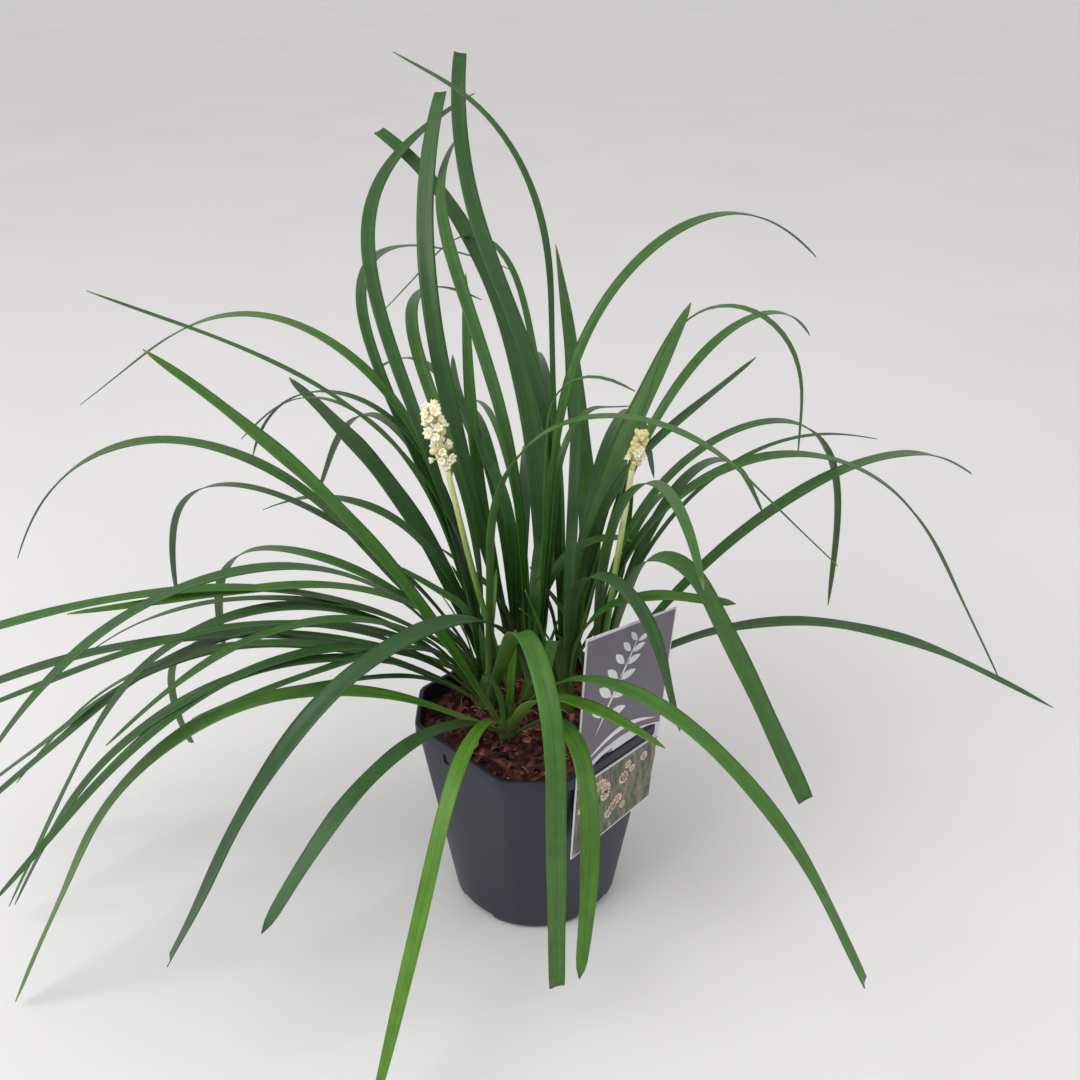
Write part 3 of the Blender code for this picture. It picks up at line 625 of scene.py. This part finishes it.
def draw_stem(bm, line, radii, sides=12):
    """Pull a disc along a line into a closed stem, changing its radius on the way."""
    def frame_at(i):
        along = line[min(i + 1, len(line) - 1)] - line[max(i - 1, 0)]
        turn = along.to_track_quat("Z", "Y").to_matrix().to_4x4()
        return Matrix.Translation(line[i]) @ turn @ Matrix.Scale(radii[i], 4)

    made = bmesh.ops.create_circle(bm, cap_ends=True, segments=sides, radius=1)["verts"]
    bmesh.ops.transform(bm, matrix=frame_at(0), verts=made)
    face = made[0].link_faces[0]
    skin = list(made)
    for i in range(1, len(line)):
        (face,), verts = extrude_on(bm, [face])
        bmesh.ops.transform(bm, matrix=frame_at(i) @ frame_at(i - 1).inverted(), verts=verts)
        skin += verts
    bmesh.ops.recalc_face_normals(bm, faces=list({f for v in skin for f in v.link_faces}))
    return skin


def flower_stalk(name, foot, waist, head_foot, skin):
    """A smooth flower stalk, faintly uneven along its length."""
    line = curve_through((foot, waist, head_foot), 14)
    line.insert(0, Vector((line[0].x, line[0].y, BUNDLE_FOOT)))
    last = len(line) - 1
    radii = [0.0023 * (1 - 0.14 * i / last) * (1 + 0.03 * math.sin(i * 2.4))
             for i in range(last + 1)]
    bm = bmesh.new()
    draw_stem(bm, line, radii)
    return piece("flower_stalk_" + name, bm, [skin], ("stalk_" + name,))


def add_bud(bm, place, size):
    """A closed bud: a plump drop, narrower at its tip."""
    made = bmesh.ops.create_icosphere(bm, subdivisions=2, radius=1)["verts"]
    for vert in made:
        narrow = 1 - 0.22 * vert.co.z
        ridge = 1 + 0.07 * math.cos(math.atan2(vert.co.y, vert.co.x) * 3)
        vert.co = Vector((vert.co.x * narrow * ridge, vert.co.y * narrow * ridge, vert.co.z * 1.2))
    bmesh.ops.transform(bm, matrix=place @ Matrix.Scale(size * 0.8, 4), verts=made)
    for face in {face for vert in made for face in vert.link_faces}:
        face.material_index = 3


def add_floret(bm, place, size, rng):
    """An open floret: six thick, cupped petals round a yellow eye of pollen."""
    spread = rng.uniform(28, 54)
    for petal in range(6):
        made = bmesh.ops.create_icosphere(bm, subdivisions=1, radius=1)["verts"]
        bmesh.ops.scale(bm, verts=made, vec=(0.5, 0.29, 0.80))
        bmesh.ops.translate(bm, verts=made, vec=(0, 0, 0.72))
        lean = Matrix.Rotation(math.radians(spread * rng.uniform(0.85, 1.15)), 4, "X")
        turn = Matrix.Rotation(petal * math.pi / 3 + 0.1, 4, "Z")
        bmesh.ops.transform(bm, matrix=place @ turn @ lean @ Matrix.Scale(size, 4), verts=made)
    eye = bmesh.ops.create_icosphere(bm, subdivisions=1, radius=0.3)["verts"]
    for face in {face for vert in eye for face in vert.link_faces}:
        face.material_index = 2
    lift = Matrix.Translation((0, 0, size * 0.45))
    bmesh.ops.transform(bm, matrix=place @ lift @ Matrix.Scale(size, 4), verts=eye)


def add_flower(bm, hub, around, lean, out, size, is_open, rng):
    """One flower of a head with its short green foot stem."""
    way = hub @ Matrix.Rotation(around, 4, "Z") @ Matrix.Rotation(lean, 4, "Y")
    place = way @ Matrix.Translation((0, 0, out))
    if is_open:
        add_floret(bm, place, size, rng)
    else:
        add_bud(bm, place, size)
    stem = draw_stem(bm, [way @ Vector((0, 0, 0.001)), place.translation], [0.0005, 0.0005], 5)
    for face in {face for vert in stem for face in vert.link_faces}:
        face.material_index = 1


def flower_head(name, head_foot, head_top, reach, tiers, open_low, open_high, skins, rng):
    """A flower spike: tiers of chunky florets and buds, uneven, with a blunt top
    and its pale stem showing where flowers are missing."""
    foot = Vector(head_foot) / 1000
    top = Vector(head_top) / 1000
    turn = (top - foot).to_track_quat("Z", "Y").to_matrix().to_4x4()
    bm = bmesh.new()
    stem = draw_stem(bm, [foot.lerp(top, t / 7) for t in range(7)],
                     [0.0019 * (1 - 0.07 * t) for t in range(7)], 8)
    for face in {face for vert in stem for face in vert.link_faces}:
        face.material_index = 1
    flower = HEAD_FLOWER * reach / 11
    # The older head has a thin waist and one low floret
    gappy = name == "left"
    for tier in range(tiers):
        share = tier / (tiers - 1)
        hub = Matrix.Translation(foot.lerp(top, 0.19 + 0.60 * share)) @ turn
        for k in range(5):
            if gappy and tier == tiers // 2 - 1 and k % 2:
                continue
            around = math.tau * (k + 0.5 * (tier % 2)) / 5 + rng.uniform(-0.3, 0.3)
            lean = math.radians(rng.uniform(58, 95) - 30 * share)
            size = flower * rng.uniform(0.82, 1.15)
            out = (reach / 1000 - size * 1.4) * (1 - 0.15 * share) * rng.uniform(0.72, 1.05)
            is_open = rng.random() < open_low + (open_high - open_low) * share
            add_flower(bm, hub, around, lean, out, size, is_open, rng)
    cap = Matrix.Translation(foot.lerp(top, 0.80)) @ turn
    for k in range(4):
        is_open = rng.random() < open_high
        add_flower(bm, cap, k * 1.6, 0.6 * min(k, 1), 0.0034, flower * 0.9, is_open, rng)
    if gappy:
        low = Matrix.Translation(foot.lerp(top, 0.05)) @ turn
        add_flower(bm, low, 0.4, 1.1, 0.0056, flower * 0.85, True, rng)
    return piece("flower_head_" + name, bm, skins, ("head_" + name,))


def bark_chips(rng, skin):
    """Flat, torn bark flakes strewn over the soil, each with its own shade."""
    bm = bmesh.new()
    shades = bm.verts.layers.float.new("shade")
    count = 0
    while count < CHIP_COUNT:
        x, y = rng.uniform(-0.08, 0.08), rng.uniform(-0.08, 0.08)
        size = 0.0012 + 0.0062 * rng.random() ** 2.4
        room = pot_reach(math.atan2(y, x), 0.0075) - size
        if math.hypot(x, y) > room:
            continue
        verts = bmesh.ops.create_icosphere(bm, subdivisions=1, radius=0.55)["verts"]
        shade = rng.betavariate(1.8, 2.4)
        for vert in verts:
            vert.co += Vector([rng.uniform(-0.17, 0.17) for _ in range(3)])
            vert[shades] = shade
        wide = size * rng.uniform(0.9, 2.0)
        bmesh.ops.scale(bm, verts=verts, vec=(wide, size, size * rng.uniform(0.25, 0.5)))
        tilt = Matrix.Rotation(rng.gauss(0, 0.35), 4, "X") @ Matrix.Rotation(rng.gauss(0, 0.3), 4, "Y")
        turn = Matrix.Rotation(rng.uniform(0, math.tau), 4, "Z")
        z = SOIL_TOP + rng.uniform(0.0002, 0.0038)
        bmesh.ops.transform(bm, matrix=Matrix.Translation((x, y, z)) @ turn @ tilt, verts=verts)
        count += 1
    return piece("bark_chips", bm, [skin], soft=False)


def bark_fibres(rng, skin):
    """Pale threads of bark and root lying among the chips."""
    bm = bmesh.new()
    for _ in range(FIBRE_COUNT):
        x, y = rng.uniform(-0.07, 0.07), rng.uniform(-0.07, 0.07)
        if math.hypot(x, y) > 0.062:
            continue
        way = rng.uniform(0, math.tau)
        line = []
        for k in range(6):
            line.append(Vector((x, y, SOIL_TOP + 0.003 + 0.0016 * math.sin(k * 1.1 + way))))
            way += rng.uniform(-0.5, 0.5)
            x += 0.0024 * math.cos(way)
            y += 0.0024 * math.sin(way)
        draw_stem(bm, line, [0.00028] * 6, 4)
    return piece("bark_fibres", bm, [skin])


def card_frame(out=0.0):
    """The card's plane: X along it to the right, Y up, Z out of its face."""
    turn = math.radians(-45)
    outward = Vector((math.cos(turn), math.sin(turn), 0))
    frame_4x4 = Matrix.Rotation(turn + math.pi / 2, 4, "Z") @ Matrix.Rotation(math.pi / 2, 4, "X")
    return Matrix.Translation(outward * (CARD_FACE + out)) @ frame_4x4


def card_side(corner_low, corner_high, z):
    """Where a slanting side of the card lies at a height."""
    share = (z - corner_low[1]) / (corner_high[1] - corner_low[1])
    return corner_low[0] + (corner_high[0] - corner_low[0]) * share


def ink(name, outlines, layer, skin):
    """Printed shapes as thin films on the card, each from its outline on the card."""
    bm = bmesh.new()
    for outline in outlines:
        face = bm.faces.new([bm.verts.new((x, y, 0)) for x, y in outline])
        bmesh.ops.translate(bm, verts=extrude_on(bm, [face])[1], vec=(0, 0, FILM))
    bmesh.ops.recalc_face_normals(bm, faces=bm.faces)
    bmesh.ops.transform(bm, matrix=card_frame(0.00002 + 0.00005 * layer), verts=bm.verts)
    return piece(name, bm, [skin], soft=False)


def arch_over(low, bow, inset, steps=12):
    """Points from left to right along a curve that bows up over the card's window."""
    low_left, low_right, high_right, high_left = CARD_CORNERS
    left = card_side(low_left, high_left, low) + inset
    right = card_side(low_right, high_right, low) - inset
    return [(left + (right - left) * k / steps, low + bow * math.sin(math.pi * k / steps))
            for k in range(steps + 1)]


def upper_field():
    """The dark upper field, its foot arched over the card's window."""
    low_left, _, high_right, high_left = CARD_CORNERS
    top = [(high_right[0] - CARD_EDGE, high_right[1] - CARD_EDGE),
           (high_left[0] + CARD_EDGE, high_left[1] - 2 * CARD_EDGE)]
    foot = card_side(low_left, high_left, STRIP_FOOT) + CARD_EDGE
    strip = [(foot, STRIP_FOOT), (foot + 0.0035, STRIP_FOOT)]
    return strip + arch_over(0.1605, 0.0095, CARD_EDGE)[1:] + top


def swoosh():
    """A thin pale crescent over the window."""
    return arch_over(0.1665, 0.0085, 0.006) + arch_over(0.1665, 0.0125, 0.006)[-2:0:-1]


def lower_field():
    """The picture field under the window."""
    low_left, low_right, high_right, high_left = CARD_CORNERS
    return [(low_left[0] + CARD_EDGE, low_left[1] + CARD_EDGE),
            (low_right[0] - CARD_EDGE, low_right[1] + CARD_EDGE),
            (card_side(low_right, high_right, PICTURE_TOP) - CARD_EDGE, PICTURE_TOP),
            (card_side(low_left, high_left, PICTURE_TOP) + CARD_EDGE, PICTURE_TOP)]


def leaflet(x, y, way, length, width):
    """A lance-shaped leaflet's outline from its foot."""
    turn = math.radians(way)
    line = []
    for k in range(14):
        share = 1 - abs(k / 7 - 1)
        along = length * share
        side = width * math.sin(math.pi * share) ** 0.8 * (0.5 if k <= 7 else -0.5)
        line.append((x + along * math.cos(turn) - side * math.sin(turn),
                     y + along * math.sin(turn) + side * math.cos(turn)))
    return line


def sprig():
    """A plain sprig of paired leaflets on a bowed stem, made up for this card."""
    shapes = []
    for k in range(6):
        t = k / 5
        x = -0.012 + 0.030 * t
        y = 0.196 + 0.046 * t + 0.006 * math.sin(math.pi * t)
        length = 0.019 - 0.008 * t
        width = 0.0072 - 0.003 * t
        shapes.append(leaflet(x, y, 136 - 12 * t, length, width))
        shapes.append(leaflet(x + 0.0012, y - 0.001, -4 + 10 * t, length + 0.001, width))
    shapes.append(leaflet(-0.021, 0.184, 56, 0.074, 0.0022))
    return shapes


def daisies(rng):
    """Round flowers of short petals scattered over the picture field."""
    petals, eyes = [], []
    for _ in range(20):
        x, y = rng.uniform(-0.033, 0.036), rng.uniform(0.103, 0.141)
        size = rng.uniform(0.0032, 0.0056)
        for k in range(9):
            petals.append(leaflet(x, y, 40 * k + rng.uniform(-6, 6), size, size * 0.62))
        ring = [math.tau * k / 10 for k in range(10)]
        eyes.append([(x + size * 0.3 * math.cos(a), y + size * 0.3 * math.sin(a)) for a in ring])
    return petals, eyes


def grasses(rng):
    """Fine upright strokes behind the round flowers."""
    strokes = []
    for _ in range(46):
        x = rng.uniform(-0.037, 0.038)
        strokes.append(leaflet(x, rng.uniform(0.0995, 0.120), rng.uniform(72, 108),
                               rng.uniform(0.012, 0.026), rng.uniform(0.0008, 0.0018)))
    return strokes


def build_plant(rng):
    """Leaves, stalks and heads."""
    upper = leaf_skin("leaf_upper", ((0, "#4f7f12"), (0.3, "#3d6c1b"), (0.6, "#2c561e"),
                                     (1, "#204323")), "#8fa45c", 0.4)
    under = leaf_skin("leaf_under", ((0, "#628634"), (0.4, "#466930"), (1, "#325230")),
                      "#93a766", 0.5)
    for name, (root, rows) in SHOOTS.items():
        leaf_piece(name, root, rows, [upper, under], rng)
    green = stalk_skin()
    cream = plain_skin("petal_waxy_cream", "#f0e8cb", 0.45, 0.1, 500)
    eye = plain_skin("pollen_yellow", "#e6d49a", 0.7, 0.15, 900)
    yellow = plain_skin("bud_waxy_yellow", "#d9cd92", 0.45, 0.12, 500)
    for name, (foot, waist, head_foot, head_top, *flowers) in STALKS.items():
        flower_stalk(name, foot, waist, head_foot, green)
        flower_head(name, head_foot, head_top, *flowers, [cream, green, eye, yellow], rng)


def build_soil(rng):
    """Bark over the soil's own solid."""
    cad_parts["soil"].data.materials.clear()
    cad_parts["soil"].data.materials.append(pine_bark_skin("bark_fines", False))
    bark_chips(rng, pine_bark_skin("bark_flakes", True))
    bark_fibres(rng, plain_skin("bark_fibre", "#c39a72", 0.9, 0.2, 800))


def build_label(rng):
    """The card's own solid in pale card, with a plain, wordless print of its own."""
    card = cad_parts["label"]
    card.data.materials.clear()
    card.data.materials.append(plain_skin("coated_card", "#c9c7cc", 0.4, 0.05, 60, 1.5))
    dark = plain_skin("print_dark_grey", "#5f5b64", 0.33, 0.05, 40, 1.5)
    pale = plain_skin("print_pale_grey", "#d8d6dc", 0.33, 0.04, 90, 1.5)
    petals, eyes = daisies(rng)
    ink("print_upper", [upper_field()], 0, dark)
    ink("print_sprig", sprig() + [swoosh()], 1, pale)
    ink("print_lower", [lower_field()], 0, printed_field())
    ink("print_grasses", grasses(rng), 1, plain_skin("print_green", "#5f6f4a", 0.35, 0.3, 300, 1.5))
    ink("print_petals", petals, 2, plain_skin("print_blush", "#d3c3b0", 0.35, 0.2, 300, 1.5))
    ink("print_eyes", eyes, 3, plain_skin("print_ochre", "#b3925f", 0.35, 0.1, 300, 1.5))


def build_stage():
    """A pale floor, soft light from above left, and the camera."""
    bm = bmesh.new()
    bmesh.ops.create_grid(bm, x_segments=1, y_segments=1, size=20)
    mesh = bpy.data.meshes.new("floor")
    bm.to_mesh(mesh)
    bm.free()
    floor = bpy.data.objects.new("floor", mesh)
    floor.data.materials.append(plain_skin("floor_paint", "#dddcdd", 0.6, 0.02, 3))
    bpy.context.scene.collection.objects.link(floor)

    world = bpy.data.worlds.new("soft_room")
    world.use_nodes = True
    world.node_tree.nodes["Background"].inputs["Color"].default_value = linear("#f2f1ef")
    world.node_tree.nodes["Background"].inputs["Strength"].default_value = 0.9
    bpy.context.scene.world = world
    bpy.context.scene.view_settings.view_transform = "Standard"
    for name, place, size, power in (("window", (-1.3, -0.9, 2.0), 1.4, 32),
                                     ("room", (1.6, -1.4, 1.6), 2.0, 8)):
        light = bpy.data.lights.new(name, "AREA")
        light.energy = power
        light.size = size
        lamp = bpy.data.objects.new(name, light)
        lamp.location = place
        aim = Vector((0, 0, 0.25)) - Vector(place)
        lamp.rotation_euler = aim.to_track_quat("-Z", "Y").to_euler()
        bpy.context.scene.collection.objects.link(lamp)

    camera = bpy.data.objects.new("camera", bpy.data.cameras.new("camera"))
    camera.data.lens = 40
    camera.data.sensor_width = 36
    camera.location = CAMERA_PLACE
    camera.rotation_euler = (math.radians(90 - CAMERA_DIP), 0, 0)
    bpy.context.scene.collection.objects.link(camera)
    bpy.context.scene.camera = camera


build_stage()
pot_shell(moulded_pot())
build_soil(random.Random(3))
build_plant(random.Random(11))
build_label(random.Random(5))
